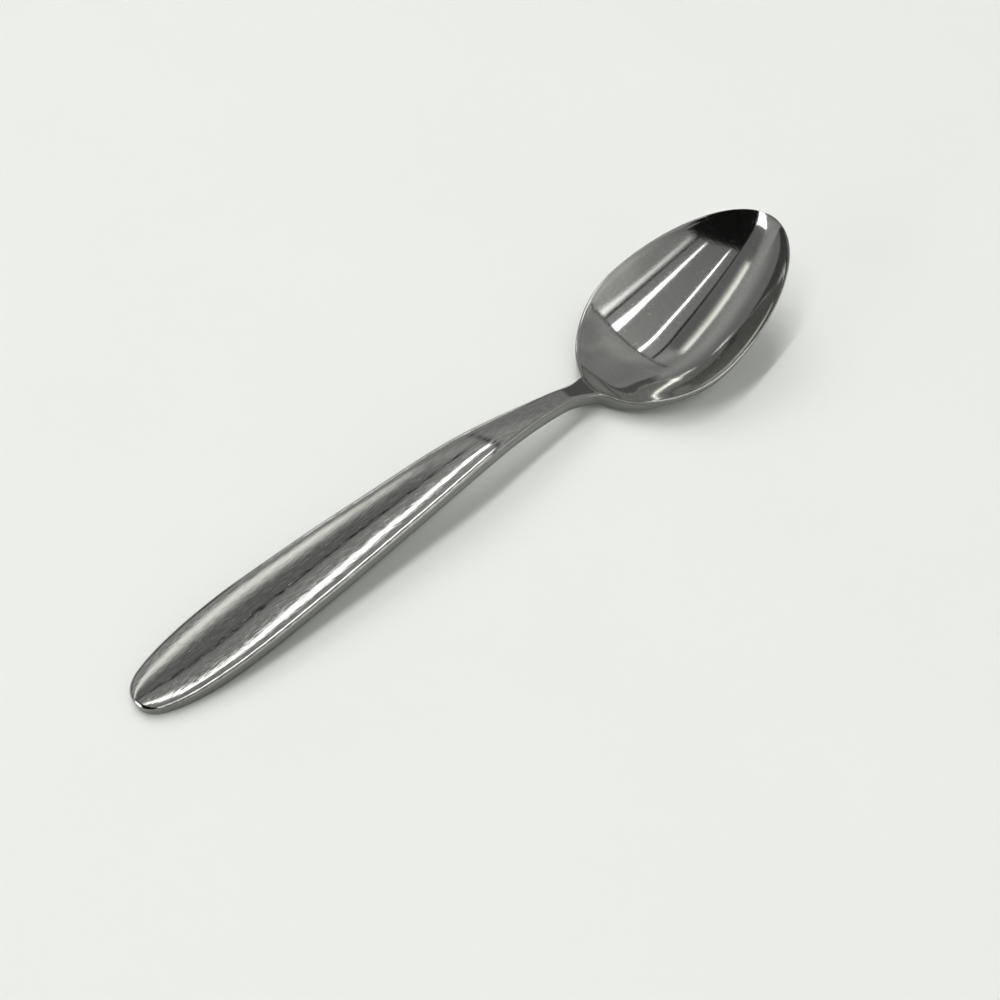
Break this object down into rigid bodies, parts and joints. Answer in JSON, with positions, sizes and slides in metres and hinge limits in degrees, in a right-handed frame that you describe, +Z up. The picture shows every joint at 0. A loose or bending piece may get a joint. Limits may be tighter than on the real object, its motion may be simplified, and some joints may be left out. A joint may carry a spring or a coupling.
{
  "type": "teaspoon",
  "caption": "Stainless steel teaspoon with a tilted egg-shaped bowl, a slim flat-topped neck and a long pointed-oval handle with a crowned top.",
  "frame": {"origin": "on the table, under the middle of the spoon's bounding box", "axes": "+X from the handle end to the bowl tip, +Y to the spoon's left, +Z up with the bowl open upwards"},
  "size_m": [0.155, 0.0344, 0.0197],
  "materials": {
    "polished_steel": "polished stainless steel with fine wear scratches",
    "satin_steel": "satin stainless steel with fine lengthwise scratches"
  },
  "bodies": {
    "root": {"bowl": "polished_steel", "neck": "satin_steel", "handle": "satin_steel"}
  },
  "joints": []
}
